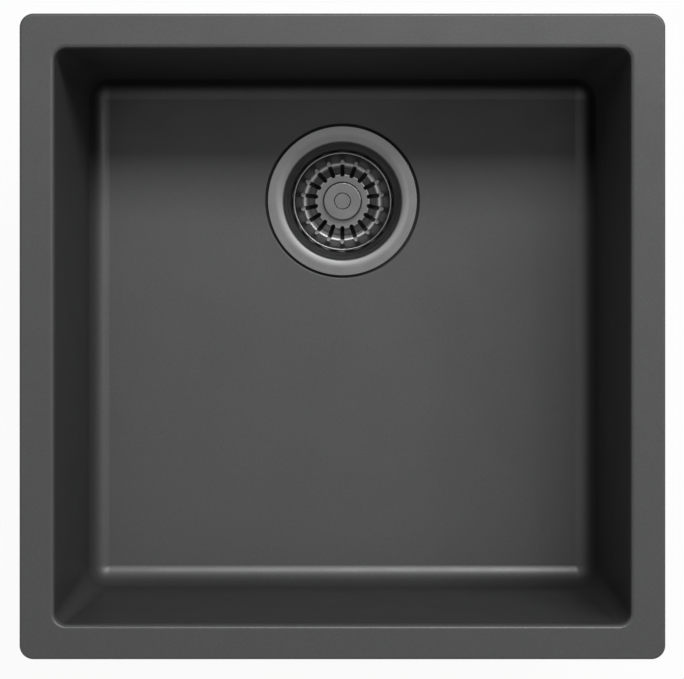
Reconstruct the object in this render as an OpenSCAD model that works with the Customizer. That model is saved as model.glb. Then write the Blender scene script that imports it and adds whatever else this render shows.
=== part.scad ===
// Inset kitchen sink: square composite bowl, 3 1/2 inch basket-strainer waste, eight swivel clips.
// Millimetres. Origin: centre of the rim's underside, where it rests on the worktop. +Z up, +Y to the back.

/* [Rim] */
// rim width, left to right
rim_x = 440; // [430:5:560]
// rim length, front to back
rim_y = 440; // [430:5:540]
// rim land, from outer edge to bowl opening
rim_land = 21.7; // [20:0.1:26]
// rim thickness
rim_h = 9; // [7:0.5:12]
// outer corner radius of the rim
rim_r = 9.5; // [6:0.5:18]
// easing of the rim's outer top edge
rim_ease = 1.5; // [0.8:0.1:2.5]
// easing of the opening's edge
mouth_ease = 2; // [1:0.1:3]

/* [Bowl] */
// depth from the rim's top to the waste
bowl_depth = 190; // [165:5:210]
// fall of the floor from its front corners to the waste
floor_fall = 3; // [1:0.5:5]
// fall of the floor from its back corners to the waste
back_fall = 0.8; // [0.3:0.1:3]
// draft of the walls in degrees
wall_draft = 3.7; // [2:0.1:5]
// wall thickness
wall_t = 8; // [7:0.5:10]
// corner radius of the opening
open_r = 10; // [6:0.5:14]
// fillet between walls and floor
floor_r = 15; // [12:0.5:24]

/* [Waste place] */
// waste centre behind the bowl's centre
drain_y = 97.5; // [0:0.5:100]
// hole for the waste
drain_hole_d = 90; // [89:0.5:92]
// gap round the flange in its recess
recess_gap = 1.6; // [0.5:0.1:2]
// thickness of the bowl's boss under the waste, from the floor
boss_t = 14; // [12:0.5:20]
// boss diameter
boss_d = 128; // [120:2:140]

/* [Rim seal] */
// foam strip width
strip_w = 4.8; // [3:0.1:6]
// foam strip height, flush with the rim's underside
strip_h = 2; // [1:0.5:3]
// strip's centre line from the rim's edge
strip_in = 5.5; // [4.5:0.5:7]
// side clearance of the strip in its groove
strip_gap = 0.1; // [0.05:0.05:0.5]

/* [Waste flange and cup] */
// lap of the flange round the bowl's hole
flange_lap = 10.4; // [10:0.1:13]
// sheet thickness
cup_t = 1; // [0.8:0.1:1.2]
// clearance of the cup in the bowl's hole
hole_gap = 1.3; // [0.3:0.1:1.5]
// radius of the rolled lip
roll_r = 3; // [2:0.25:4]
// radius of the flange's soft fall towards the lip
fall_r = 16; // [8:1:24]
// step in from the mouth to the shoulder that carries the basket
shelf_in = 4.8; // [4.5:0.1:6.5]
// cup depth to its floor
cup_depth = 33; // [32:0.5:36]
// flat between the stopper's edge and the cup's round corner
floor_lap = 3.1; // [2.8:0.1:5]
// hub diameter of the cross in the skirt
hub_d = 19; // [18:0.5:22]
// width of the cross's arms
arm_w = 5; // [3:0.5:7]

/* [Basket] */
// gap round the basket's rim
basket_gap = 1; // [0.8:0.1:2]
// basket rim below the flange's top
basket_drop = 15.2; // [14.5:0.1:16]
// basket sheet thickness
basket_t = 0.8; // [0.6:0.1:1]
// width from the basket's rim to its dome
trough_w = 16; // [15:0.1:17]
// radius of the trough's round bottom
trough_r = 3; // [2:0.25:4]
// slots round the dome
slot_count = 18; // [12:1:20]
// slot width
slot_w = 3.1; // [2:0.1:3.4]
// reach of the slots over the dome's top
slot_top = 2.5; // [1.5:0.1:3.5]
// distance of the slots' ends from the basket's rim, in plan
slot_end = 5.4; // [5.2:0.1:8]
// knob diameter
knob_d = 29; // [24:0.5:33]
// knob height above the dome
knob_h = 6.7; // [5:0.1:9]
// knob cap diameter
cap_d = 12; // [9:0.5:16]
// stem diameter
stem_d = 6; // [5:0.5:7]
// lap of the stopper round the outlet
stop_lap = 7.4; // [4:0.1:8]
// gap under the stopper when it sits in the cup
seat_gap = 0.2; // [0.05:0.05:0.4]

/* [Clamp screw and foot] */
// head diameter of the clamp screw
head_d = 17; // [15:0.5:18]
// head height of the clamp screw
head_h = 8.5; // [8:0.5:11]
// gap between the stem's nut and the foot
foot_gap = 0.5; // [0.4:0.1:2]
// snap bore in the screw's head
snap_d = 10; // [9.5:0.5:11]
// shank diameter of the clamp screw
shank_d = 8; // [7:0.5:8]
// running clearance, on the radius
run_gap = 0.05; // [0.02:0.01:0.1]
// outer diameter of the brass insert
nut_d = 13; // [12:0.5:14]

/* [Waste body] */
// lap of the body's clamping flange round the bowl's hole
body_lap = 10; // [9:0.5:13]
// wall of the body's cone and throat
body_wall = 3.8; // [3:0.2:4.2]
// room round the skirt in the body's throat
throat_gap = 3.5; // [2.5:0.5:5]
// thickness of the body's webs and ribs
web_t = 3; // [2:0.5:4]
// height of the webs that carry the post
web_h = 11.2; // [8:0.4:14]
// thickness of the body's seal
body_seal_t = 3; // [2:0.5:4]
// thickness of the flange's seal
flange_seal_t = 2; // [1:0.5:2.5]
// outlet thread diameter, 1 1/2 inch
thread_d = 47.8; // [47.4:0.1:48]
// outlet thread length
thread_l = 18; // [14:1:24]
// wall inside the outlet's thread
thread_wall = 3.9; // [3:0.1:5]

/* [Worktop clips] */
// spacing of the two clips on a side
clip_pitch = 240; // [160:10:280]
// thickest worktop the clips reach round
worktop_max = 42; // [36:1:50]
// bracket steel thickness
bracket_t = 2; // [1.5:0.25:2.5]
// bracket width
bracket_w = 28; // [26:1:34]
// bracket height
bracket_h = 35; // [31:1:40]
// clamp screw diameter of a clip
clip_screw_d = 5; // [4:0.5:6]
// clamp screw length of a clip
clip_screw_l = 62; // [60:1:70]
// jaw length from its screw
jaw_l = 26; // [20:1:30]
// jaw width
jaw_w = 11; // [9:0.5:12]
// spacing of a bracket's two fixing screws
fix_pitch = 17; // [15:0.5:18]

/* [Hidden] */
fa = 64;
zf = rim_h - bowl_depth;
half_x = rim_x / 2 - rim_land;
half_y = rim_y / 2 - rim_land;
hole_r = drain_hole_d / 2;
flange_r = hole_r + flange_lap;
recess_r = flange_r + recess_gap;
mouth_r = hole_r - hole_gap - cup_t;
shelf_r = mouth_r - shelf_in;
shelf_z = -basket_drop - 0.2;
fall_a = 12;
fall_x = mouth_r + roll_r + (fall_r - roll_r) * sin(fall_a);
basket_r = shelf_r - basket_gap;
dome_r = basket_r - trough_w;
bend_r = shelf_r - 6.9;
stopper_r = bend_r - floor_lap;
outlet_r = stopper_r - stop_lap;
throat_r = outlet_r + throat_gap;
body_r = hole_r + body_lap;
thread_r = thread_d / 2;
cup_z = -cup_t - flange_seal_t;
basket_floor = cup_depth - 4.5;
stop_top = -basket_floor - basket_t - 0.3;
stop_low = -cup_depth + seat_gap;
nut_top = stop_low - 1.7;
nut_low = nut_top - 3.2;
foot_lip = 1.3;
head_top = nut_low - foot_gap - foot_lip;
head_bore_l = head_h - 1.4;
hub_t = 2;
hub_z = head_top - head_h - hub_t;
foot_end = head_top - 5.3;
body_z = -boss_t - body_seal_t;
post_z = hub_z - 2;
post_h = 23;
throat_z = post_z - 10;
web_z = post_z - post_h;
thread_z = web_z - 5;
end_z = thread_z - thread_l;
pad_top = -worktop_max - 8;
pad_h = bracket_h + 3;
pad_off = wall_off(pad_top) + 2;
axis_off = pad_off + bracket_t + 6.8;
fix_z = pad_top - pad_h / 2;
insert_l = 8.2;
insert_d = 7;
jaw_z = -worktop_max - 7;
tip_r = 0.4 * clip_screw_d;

function wall_in(z) = -(rim_h - z) * tan(wall_draft);
function wall_off(z) = wall_in(z) + wall_t / cos(wall_draft);
function arc(cx, cz, r, a0, a1, n) = [for (i = [0:n]) let (a = a0 + (a1 - a0) * i / n) [cx + r * cos(a), cz + r * sin(a)]];
function nrm(a, b) = let (d = b - a) [-d[1], d[0]] / norm(d);
function side(p, t) = [for (i = [0:len(p) - 1])
  let (m = len(p) - 1, u = nrm(p[max(i - 1, 0)], p[max(i, 1)]), v = nrm(p[min(i, m - 1)], p[min(i + 1, m)]), s = u + v)
  p[i] + s * 2 * t / (s * s)];
function back(p) = [for (i = [len(p) - 1:-1:0]) p[i]];
function side_half(k) = k % 2 == 0 ? half_x : half_y;

module ring2(x, y, r) {
  square([x - 2 * r, y], center = true);
  square([x, y - 2 * r], center = true);
  for (i = [-1, 1], j = [-1, 1])
    translate([i * (x / 2 - r), j * (y / 2 - r)]) circle(r, $fn = fa);
}

module corners(ox, oy) {
  for (i = [-1, 1], j = [-1, 1])
    translate([i * ox, j * oy, 0]) children();
}

module sheet(p, t) {
  rotate_extrude($fn = 96) polygon(concat(p, back(side(p, t))));
}

module tube(ro, ri, z0, z1) {
  translate([0, 0, z0]) difference() {
    cylinder(r = ro, h = z1 - z0, $fn = 96);
    translate([0, 0, -1]) cylinder(r = ri, h = z1 - z0 + 2, $fn = 96);
  }
}

module rod(r, z0, z1) {
  translate([0, 0, z0]) cylinder(r = r, h = z1 - z0, $fn = fa);
}

module at_drain() {
  translate([0, drain_y, zf]) children();
}

module at_side_clip(n) {
  k = floor((n - 1) / 2);
  s = (n - 1) % 2 * 2 - 1;
  rotate([0, 0, 90 * k]) translate([side_half(k), s * clip_pitch / 2, 0]) children();
}

module at_fixings() {
  for (n = [1:8], s = [-1, 1])
    at_side_clip(n) translate([pad_off, s * fix_pitch / 2, fix_z]) rotate([0, 90, 0]) children();
}

// one smooth shell: t = 0 gives the bowl's space, t = wall_t its outside
module shell(t, top) {
  e = wall_in(top) + t / cos(wall_draft) - open_r - t;
  hull() {
    for (i = [-1, 1], j = [-1, 1]) {
      zc = zf + floor_r + (j < 0 ? floor_fall : back_fall);
      off = wall_in(zc) - floor_r / cos(wall_draft);
      translate([i * (half_x + off), j * (half_y + off), zc]) sphere(r = floor_r + t, $fn = 40);
    }
    translate([0, 0, top - 0.5]) corners(half_x + e, half_y + e) cylinder(r = open_r + t, h = 0.5, $fn = 40);
    translate([0, drain_y, zf - t]) cylinder(r = recess_r + 2.5, h = 1, $fn = 64);
  }
}

module rim_slab() {
  linear_extrude(rim_h - rim_ease) ring2(rim_x, rim_y, rim_r);
  hull() {
    translate([0, 0, rim_h - rim_ease]) linear_extrude(0.01) ring2(rim_x, rim_y, rim_r);
    translate([0, 0, rim_h - 0.01]) linear_extrude(0.01)
      ring2(rim_x - 2 * rim_ease, rim_y - 2 * rim_ease, rim_r - rim_ease);
  }
}

module mouth_easing() {
  e = wall_in(rim_h) - open_r;
  hull() {
    translate([0, 0, rim_h - mouth_ease]) corners(half_x + e, half_y + e) cylinder(r = open_r - 0.1, h = 0.1, $fn = 40);
    translate([0, 0, rim_h + 0.2]) corners(half_x + e, half_y + e) cylinder(r = open_r + mouth_ease, h = 0.1, $fn = 40);
  }
}

module strip_ring(w, h) {
  c = 2 * strip_in;
  difference() {
    linear_extrude(h) ring2(rim_x - c + w, rim_y - c + w, rim_r - strip_in + w / 2 + 2);
    translate([0, 0, -1]) linear_extrude(h + 2) ring2(rim_x - c - w, rim_y - c - w, rim_r - strip_in - w / 2 + 2);
  }
}

module sink_bowl() {
  color([0.33, 0.34, 0.35]) difference() {
    union() {
      rim_slab();
      shell(wall_t, 1);
      at_drain() rod(boss_d / 2, -boss_t, -1);
      for (n = [1:8])
        at_side_clip(n) translate([pad_off - 6, -bracket_w / 2 - 2, pad_top - pad_h])
          cube([6, bracket_w + 4, pad_h]);
    }
    shell(0, rim_h + 2);
    mouth_easing();
    at_drain() rod(hole_r, -boss_t - 1, 1);
    at_drain() rod(recess_r, cup_z, 1);
    translate([0, 0, -1]) strip_ring(strip_w + 2 * strip_gap, strip_h + 1);
    at_fixings() rod(insert_d / 2, -insert_l - 0.2, 1);
  }
}

module rim_seal() {
  color([0.1, 0.1, 0.1]) strip_ring(strip_w, strip_h);
}

module wall_inserts() {
  color([0.85, 0.82, 0.72]) at_fixings() tube(insert_d / 2, 2, -insert_l, 0);
}

module clip_bracket() {
  b0 = pad_top - 1;
  tab = axis_off - pad_off + 6;
  difference() {
    union() {
      translate([pad_off, -bracket_w / 2, b0 - bracket_h]) cube([bracket_t, bracket_w, bracket_h]);
      for (z = [b0 - bracket_h, b0 - bracket_t]) {
        translate([pad_off, -7, z]) cube([tab - 6, 14, bracket_t]);
        translate([axis_off, 0, 0]) rod(6, z, z + bracket_t);
      }
    }
    translate([axis_off, 0, 0]) rod(clip_screw_d / 2 + run_gap, b0 - bracket_h - 1, b0 + 1);
    for (s = [-1, 1])
      translate([pad_off - 1, s * fix_pitch / 2, fix_z]) rotate([0, 90, 0]) rod(2.2, 0, bracket_t + 2);
  }
}

module clip_brackets() {
  color([0.75, 0.76, 0.78]) for (n = [1:8]) at_side_clip(n) clip_bracket();
}

module bracket_screws() {
  color([0.8, 0.8, 0.82]) at_fixings() difference() {
    union() {
      rod(1.95, -7.5, bracket_t + 1);
      translate([0, 0, bracket_t]) cylinder(r1 = 3.9, r2 = 3.2, h = 2.2, $fn = 48);
    }
    for (a = [0, 90])
      rotate([0, 0, a]) translate([-2.2, -0.45, bracket_t + 1.1]) cube([4.4, 0.9, 2]);
  }
}

module clip_screw(n) {
  z0 = jaw_z - 1.4;
  color([0.82, 0.82, 0.84]) at_side_clip(n) translate([axis_off, 0, 0]) difference() {
    union() {
      rod(clip_screw_d / 2, z0 - clip_screw_l, z0 + 0.5);
      rod(0.88 * clip_screw_d, z0, z0 + 1.3);
      rod(tip_r, z0, jaw_z + 3);
      rod(tip_r + 1.2, jaw_z + 2.6, jaw_z + 3.6);
      rod(0.92 * clip_screw_d, z0 - clip_screw_l - 0.8 * clip_screw_d, z0 - clip_screw_l);
    }
    translate([-clip_screw_d, -0.6, z0 - clip_screw_l - clip_screw_d]) cube([2 * clip_screw_d, 1.2, 2.6]);
  }
}

module clip_jaw(n) {
  color([0.7, 0.71, 0.73]) at_side_clip(n) translate([axis_off, 0, jaw_z]) difference() {
    union() {
      rod(6, 0, 2.5);
      translate([-jaw_w / 2, -11, 0]) cube([jaw_w, 9, 2.5]);
      translate([-jaw_w / 2, -11, 0]) cube([jaw_w, 3, 5]);
      translate([-jaw_w / 2, -jaw_l, 2.5]) cube([jaw_w, jaw_l - 8.5, 2.5]);
      for (y = [0, 3.5])
        translate([-jaw_w / 2, 0.4 - jaw_l + y, 4.9]) cube([jaw_w, 1.4, 1.1]);
    }
    rod(tip_r + run_gap, -1, 4);
  }
}

module waste_flange() {
  m = mouth_r;
  f = shelf_r;
  o = outlet_r;
  zs = shelf_z;
  path = concat(
    [[flange_r, 0]],
    arc(fall_x, -fall_r, fall_r, 90, 90 + fall_a * 2 / 3, 2),
    arc(m + roll_r, (fall_r - roll_r) * cos(fall_a) - fall_r, roll_r, 90 + fall_a, 180, 7),
    [[m - 0.7, zs + 6.4], [m - 1.6, zs + 4.2], [m - 3.2, zs + 2.6], [f + 1.2, zs + 1.4], [f + 0.2, zs], [f - 0.3, zs - 2.1]],
    arc(bend_r, 4 - cup_depth, 4, 0, -90, 6),
    arc(o + 1.5, -cup_depth - 1.5, 1.5, 90, 180, 4),
    [[o, hub_z]]
  );
  color([0.45, 0.45, 0.46]) at_drain() {
    sheet(path, cup_t);
    tube(hub_d / 2, shank_d / 2 + 0.2, hub_z, hub_z + hub_t);
    for (a = [45:90:315])
      rotate([0, 0, a]) translate([hub_d / 2 - 0.6, -arm_w / 2, hub_z]) cube([o - hub_d / 2 + 1, arm_w, hub_t]);
  }
}

module flange_seal() {
  color([0.08, 0.08, 0.08]) at_drain() tube(flange_r - 0.4, fall_x + 0.1, cup_z, -cup_t);
}

module body_seal() {
  color([0.08, 0.08, 0.08]) at_drain() tube(body_r - 1, hole_r + 1.5, body_z, -boss_t);
}

module clamp_screw() {
  z0 = hub_z + hub_t;
  color([0.6, 0.6, 0.62]) at_drain() difference() {
    union() {
      rod(head_d / 2, z0, head_top);
      rod(shank_d / 2, post_z - 18, z0 + 1);
    }
    rod(snap_d / 2, head_top - head_bore_l, head_top + 1);
    for (a = [0, 90])
      rotate([0, 0, a]) translate([-head_d / 2 - 1, -1, head_top - 1.6]) cube([head_d + 2, 2, 3]);
  }
}

module clamp_nut() {
  color([0.78, 0.62, 0.3]) at_drain() tube(nut_d / 2, shank_d / 2 + run_gap, post_z - 19, post_z - 1);
}

module waste_body() {
  h = hole_r;
  b = body_r;
  q = thread_r;
  w = thread_r - thread_wall;
  s = throat_r;
  e = s + body_wall / 2;
  zi = [body_z, body_z - 4, body_z - 10, post_z, throat_z, web_z];
  outer = [
    [b, zi[0]], [b, zi[1]], [h + 2, zi[1]], [h - 4 + body_wall, zi[2]], [s + 5.6 + body_wall, zi[3] + 1],
    [s + body_wall, zi[4]], [s + body_wall, thread_z], [q, thread_z], [q, end_z + 0.8], [q - 0.8, end_z]
  ];
  inner = [
    [w, end_z], [w, thread_z + 0.5], [s, zi[5] - 1.5], [s, zi[4] - 1], [s + 5.6, zi[3] + 0.5], [h - 4, zi[2] - 0.5],
    [h - 1.6, zi[1] - 0.8], [h + 0.7, zi[0] - 2.5], [h + 0.7, zi[0]]
  ];
  color([0.06, 0.06, 0.065]) at_drain() {
    rotate_extrude($fn = 96) polygon(concat(outer, inner));
    for (a = [30:60:330])
      rotate([90, 0, a]) translate([0, 0, -web_t / 2]) linear_extrude(web_t)
        polygon([
          [h + 0.2, zi[1] + 0.5], [b - 2, zi[1] + 0.5], [b - 2, zi[1] - 2], [s + body_wall + 9.7, post_z + 6],
          [s + body_wall + 6.4, post_z + 6]
        ]);
    difference() {
      union() {
        rod(nut_d / 2 + 3.5, web_z, post_z);
        for (a = [45, 135])
          rotate([0, 0, a]) translate([-e, -web_t / 2, web_z]) cube([2 * e, web_t, web_h]);
      }
      rod(nut_d / 2 + run_gap, post_z - 19.2, post_z + 1);
    }
  }
}

module strainer_basket() {
  r = basket_r;
  d = dome_r;
  slot_in = dome_r - slot_top;
  slot_out = basket_r - slot_end;
  zb = -basket_drop;
  zl = -basket_floor;
  edge_r = 1.2;
  c = [(r + d) / 2 - 1.1, zl + trough_r];
  e = [d - edge_r, zb - edge_r];
  u = [r - 1, zb] - c;
  v = c - e;
  a_out = atan2(u[1], u[0]) - acos(trough_r / norm(u));
  a_in = atan2(v[1], v[0]) + acos((trough_r + edge_r) / norm(v));
  path = concat(
    [[r - 1, zb]],
    arc(c[0], c[1], trough_r, a_out, a_in - 180, 10),
    arc(e[0], e[1], edge_r, a_in, 90, 4),
    [[stem_d / 2 + 0.05, zb]]
  );
  color([0.5, 0.5, 0.51]) at_drain() {
    difference() {
      sheet(path, basket_t);
      for (i = [0:slot_count - 1])
        rotate([0, 0, 90 + i * 360 / slot_count]) {
          translate([slot_in + slot_w / 2, -slot_w / 2, zl - 2]) cube([slot_out - slot_in - slot_w, slot_w, 30]);
          for (x = [slot_in + slot_w / 2, slot_out - slot_w / 2])
            translate([x, 0, 0]) rod(slot_w / 2, zl - 2, 5);
        }
    }
    rotate_extrude($fn = 96) translate([r - 0.9, zb]) circle(0.9, $fn = 24);
  }
}

module basket_knob() {
  k = knob_d / 2;
  zb = -basket_drop;
  color([0.5, 0.5, 0.51]) at_drain() difference() {
    rotate_extrude($fn = 96) polygon(concat(
      [[0, zb], [7, zb], [6.2, zb + 1.4], [6.6, zb + knob_h - 3.6], [8, zb + knob_h - 3]],
      arc(k - 1.3, zb + knob_h - 1.7, 1.3, -90, 0, 4),
      arc(k - 1.3, zb + knob_h - 1.3, 1.3, 0, 90, 4),
      [[0, zb + knob_h]]
    ));
    rod(stem_d / 2, zb - 1, zb + knob_h - 2.2);
    rod(cap_d / 2 + 0.1, zb + knob_h - 1.2, zb + knob_h + 1);
  }
}

module knob_cap() {
  zb = -basket_drop + knob_h;
  color([0.55, 0.55, 0.56]) at_drain() {
    rod(cap_d / 2, zb - 1.2, zb);
    translate([0, 0, zb]) cylinder(r1 = cap_d / 2, r2 = cap_d / 2 - 0.3, h = 0.25, $fn = 64);
  }
}

module basket_stem() {
  color([0.62, 0.62, 0.64]) at_drain() {
    rod(stem_d / 2, nut_low - 0.4, -basket_drop + knob_h - 2.2);
    rod(stem_d / 2 + 3, stop_top, stop_top + 2);
    rod(2.5, foot_end - 1.2, nut_top - 3);
    rod(3.4, foot_end - 1.2, foot_end - 0.1);
  }
}

module stopper_seal() {
  s = stopper_r;
  color([0.05, 0.05, 0.05]) at_drain() rotate_extrude($fn = 96) polygon([
    [stem_d / 2, stop_top], [s - 0.8, stop_top], [s, stop_top - 0.8], [s, stop_low + 0.5], [s - 0.5, stop_low],
    [outlet_r + 0.9, stop_low], [outlet_r - 0.6, stop_low + 0.8], [10.5, stop_low + 0.8],
    [9.5, nut_top + 1], [stem_d / 2, nut_top + 1]
  ]);
}

module stem_washer() {
  color([0.72, 0.72, 0.74]) at_drain() tube(9, stem_d / 2 + 0.1, nut_top, nut_top + 1);
}

module stem_nut() {
  color([0.72, 0.72, 0.74]) at_drain() difference() {
    translate([0, 0, nut_low]) cylinder(d = stem_d + 5.5, h = nut_top - nut_low, $fn = 6);
    rod(stem_d / 2 + 0.02, nut_low - 2, nut_top + 1);
  }
}

module snap_foot() {
  z1 = head_top + foot_lip;
  color([0.9, 0.9, 0.88]) at_drain() difference() {
    union() {
      rod(snap_d / 2 - 0.4, foot_end, z1);
      rod(snap_d / 2 + 1.2, z1 - 0.9, z1);
    }
    rod(2.5 + run_gap, foot_end - 1, z1 + 1);
    tube(snap_d / 2 + 1, snap_d / 2 - 1.5, foot_end + 2, foot_end + 3.5);
  }
}

module foot_ring() {
  color([0.08, 0.08, 0.08]) at_drain() rotate_extrude($fn = 64)
    translate([snap_d / 2 - 0.75, foot_end + 2.75]) circle(0.7, $fn = 24);
}

sink_bowl();
rim_seal();
wall_inserts();
clip_brackets();
bracket_screws();
waste_flange();
flange_seal();
body_seal();
waste_body();
clamp_nut();
clamp_screw();
strainer_basket();
basket_knob();
knob_cap();
basket_stem();
stopper_seal();
stem_washer();
stem_nut();
snap_foot();
foot_ring();
clip_screw(1);  // clip_1_screw
clip_screw(2);  // clip_2_screw
clip_screw(3);  // clip_3_screw
clip_screw(4);  // clip_4_screw
clip_screw(5);  // clip_5_screw
clip_screw(6);  // clip_6_screw
clip_screw(7);  // clip_7_screw
clip_screw(8);  // clip_8_screw
clip_jaw(1);  // clip_1_jaw
clip_jaw(2);  // clip_2_jaw
clip_jaw(3);  // clip_3_jaw
clip_jaw(4);  // clip_4_jaw
clip_jaw(5);  // clip_5_jaw
clip_jaw(6);  // clip_6_jaw
clip_jaw(7);  // clip_7_jaw
clip_jaw(8);  // clip_8_jaw
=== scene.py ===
"""Looks of an inset kitchen sink: composite bowl, basket-strainer waste and worktop clips.

Metres in the scene, millimetres in the shapes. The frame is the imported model's: the origin is the centre
of the rim's underside, +Z is up and +Y is the back, where the waste is.
"""

import math

import bmesh
import bpy
import numpy as np
from bpy.props import FloatProperty, FloatVectorProperty, PointerProperty
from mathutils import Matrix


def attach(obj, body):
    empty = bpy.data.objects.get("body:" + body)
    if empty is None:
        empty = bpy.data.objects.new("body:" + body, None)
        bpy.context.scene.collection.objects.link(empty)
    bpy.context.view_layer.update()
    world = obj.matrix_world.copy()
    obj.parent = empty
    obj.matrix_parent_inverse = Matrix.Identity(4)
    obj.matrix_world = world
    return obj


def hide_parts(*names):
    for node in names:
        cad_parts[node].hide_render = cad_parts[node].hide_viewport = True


bl_info = {
    "name": "Inset Sink Looks",
    "version": (1, 0, 0),
    "blender": (4, 5, 0),
    "location": "3D View > Sidebar > Sink",
    "description": "Builds the visible surfaces of a packed kitchen sink, and the studio round it",
    "category": "Object",
}

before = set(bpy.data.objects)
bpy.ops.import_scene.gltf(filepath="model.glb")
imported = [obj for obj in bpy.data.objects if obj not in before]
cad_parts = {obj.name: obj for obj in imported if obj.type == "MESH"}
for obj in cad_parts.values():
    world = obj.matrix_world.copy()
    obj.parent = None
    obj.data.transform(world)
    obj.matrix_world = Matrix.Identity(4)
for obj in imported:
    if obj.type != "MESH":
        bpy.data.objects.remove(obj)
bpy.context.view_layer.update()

MM = 0.001
SHARP = math.radians(35)  # edges that turn by more stay sharp, or are bevelled

# The bowl, with half widths from its middle.
RIM_TOP = 9.0
RIM_HALF = 220.0
OPENING = 198.3
DRAFT = math.tan(math.radians(3.7))
WALL_MIDDLE = 202.2  # half way through the wall, at the rim's top
FLOOR_DEPTH, FLOOR_FALL = 179.1, 0.0064  # at the middle, and the fall of each millimetre towards the back
BALLS = np.array([[172.004, 172.004, -165.2], [-172.004, 172.004, -165.2],  # centres of the floor's corners
                  [-172.146, -172.146, -163.0], [172.146, -172.146, -163.0]])
FILLET = [[0.7, -14.99], [10.06, -13.34], [14.58, -6.96], [14.969, -0.968]]  # from a ball's centre

# The waste, with heights from ZF and radii from its axis.
DRAIN = np.array([0.0, 97.5])
ZF = -181.0
HUB = 19.5  # the plate under the knob
ROLL = (35.0, 37.2)  # the basket's rolled rim
CUP = 43.5
LIP = (41.0, 50.0)
RECESS = 57.6
SLOTS = 18

# The clips, two on each side.
CLIPS = range(1, 9)
CLIP_AXIS = 213.3013
CLIP_SIDE = 120.0
PAD_FACE = OPENING + 6.2013
AT_ORIGIN = {"centre": (0.0, 0.0), "z": 0.0}


class Shape:
    """Points in millimetres and blocks of faces with as many corners each."""

    def __init__(self, points, *blocks):
        self.points = np.asarray(points, float).reshape(-1, 3)
        self.blocks = [np.atleast_2d(b) for b in blocks]

    def __add__(self, other):
        """Both in one mesh: the other's corner numbers go on from this one's."""
        n = len(self.points)
        return Shape(np.vstack([self.points, other.points]), *self.blocks, *[b + n for b in other.blocks])

    def turned(self, degrees):
        """The same shape turned about Z: x' = x cos a - y sin a, y' = x sin a + y cos a."""
        a = math.radians(degrees)
        m = np.array([[math.cos(a), math.sin(a), 0], [-math.sin(a), math.cos(a), 0], [0, 0, 1]])
        return Shape(self.points @ m, *self.blocks)

    def moved(self, x, y, z):
        """The same shape shifted by x, y and z."""
        return Shape(self.points + [x, y, z], *self.blocks)

    def lying(self):
        """The same shape with its own z laid along +X: x' = z, y' = y, z' = -x."""
        return Shape(self.points[:, [2, 1, 0]] * [1, 1, -1], *self.blocks)

    def standing(self):
        """The same shape stood up, mirrored in x: x' = -x, y' = z, z' = -y."""
        return Shape(self.points[:, [0, 2, 1]] * [-1, 1, -1], *self.blocks)


def arc(cx, cz, r, a0, a1, n):
    """Points of an arc: centre plus radius times (cos, sin) of n + 1 even angles in degrees."""
    a = np.radians(np.linspace(a0, a1, n + 1))
    return np.stack([cx + r * np.cos(a), cz + r * np.sin(a)], 1)


def joined(*parts):
    """Several runs of (radius, height) points as one run, without the points that repeat."""
    p = np.vstack([np.atleast_2d(np.asarray(q, float)) for q in parts])
    keep = np.r_[True, np.linalg.norm(np.diff(p, axis=0), axis=1) > 1e-4]
    return p[keep]


def eased(points, radii, n=4):
    """A closed outline with each corner replaced by the arc that touches both its sides.

    The arc starts r / tan(half the corner's angle) away from the corner and is walked by spherical steps. Its
    centre lies r / sin(half the angle) along the line that halves the corner.
    """
    p = np.asarray(points, float)
    r = np.zeros(len(p)) + radii
    a = np.roll(p, 1, 0) - p
    b = np.roll(p, -1, 0) - p
    a /= np.linalg.norm(a, axis=1)[:, None]
    b /= np.linalg.norm(b, axis=1)[:, None]
    half = np.arccos(np.clip((a * b).sum(1), -1, 1)) / 2
    cut = (r / np.tan(half))[:, None]
    mid = a + b
    mid /= np.maximum(np.linalg.norm(mid, axis=1), 1e-9)[:, None]
    c = p + mid * (r / np.sin(half))[:, None]
    turn = (np.pi - 2 * half)[:, None, None]
    k = np.linspace(0, 1, n + 1)[None, :, None]
    s = (p + a * cut - c)[:, None]
    e = (p + b * cut - c)[:, None]
    q = c[:, None] + (np.sin((1 - k) * turn) * s + np.sin(k * turn) * e) / np.maximum(np.sin(turn), 1e-9)
    return joined(q.reshape(-1, 2))


def smoothed(points, n):
    """A Catmull-Rom curve through points, n steps to a span.

    Each span is the cubic that leaves and reaches its points along the line between their neighbours.
    """
    p = np.asarray(points, float)
    q = np.vstack([2 * p[0] - p[1], p, 2 * p[-1] - p[-2]])
    t = np.linspace(0, 1, n, endpoint=False)[None, :, None]
    a, b, c, d = (q[i:len(p) - 1 + i, None] for i in range(4))
    s = 0.5 * (2 * b + (c - a) * t + (2 * a - 5 * b + 4 * c - d) * t**2 + (3 * b - a - 3 * c + d) * t**3)
    return joined(s.reshape(-1, 2), p[-1])


def bezier(points, n):
    """n + 1 points of the cubic Bezier curve of four points.

    Each is the four's mean, weighted by (1-t)^3, 3(1-t)^2 t, 3(1-t)t^2 and t^3.
    """
    a, b, c, d = np.asarray(points, float)
    t = np.linspace(0, 1, n + 1)[:, None]
    return (1 - t)**3 * a + 3 * (1 - t)**2 * t * b + 3 * (1 - t) * t**2 * c + t**3 * d


def sheet(path, t):
    """A path of (radius, height) shifted to its left by thickness t.

    Each point moves along the mean m of the normals beside it, by 2 t / (m m), so both sides stay parallel.
    """
    p = np.asarray(path, float)
    d = np.diff(p, axis=0)
    n = np.stack([-d[:, 1], d[:, 0]], 1) / np.linalg.norm(d, axis=1)[:, None]
    m = np.vstack([n[:1], n[:-1] + n[1:], n[-1:]])
    m[0], m[-1] = 2 * n[0], 2 * n[-1]
    return p + m * (2 * t / (m * m).sum(1))[:, None]


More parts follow.
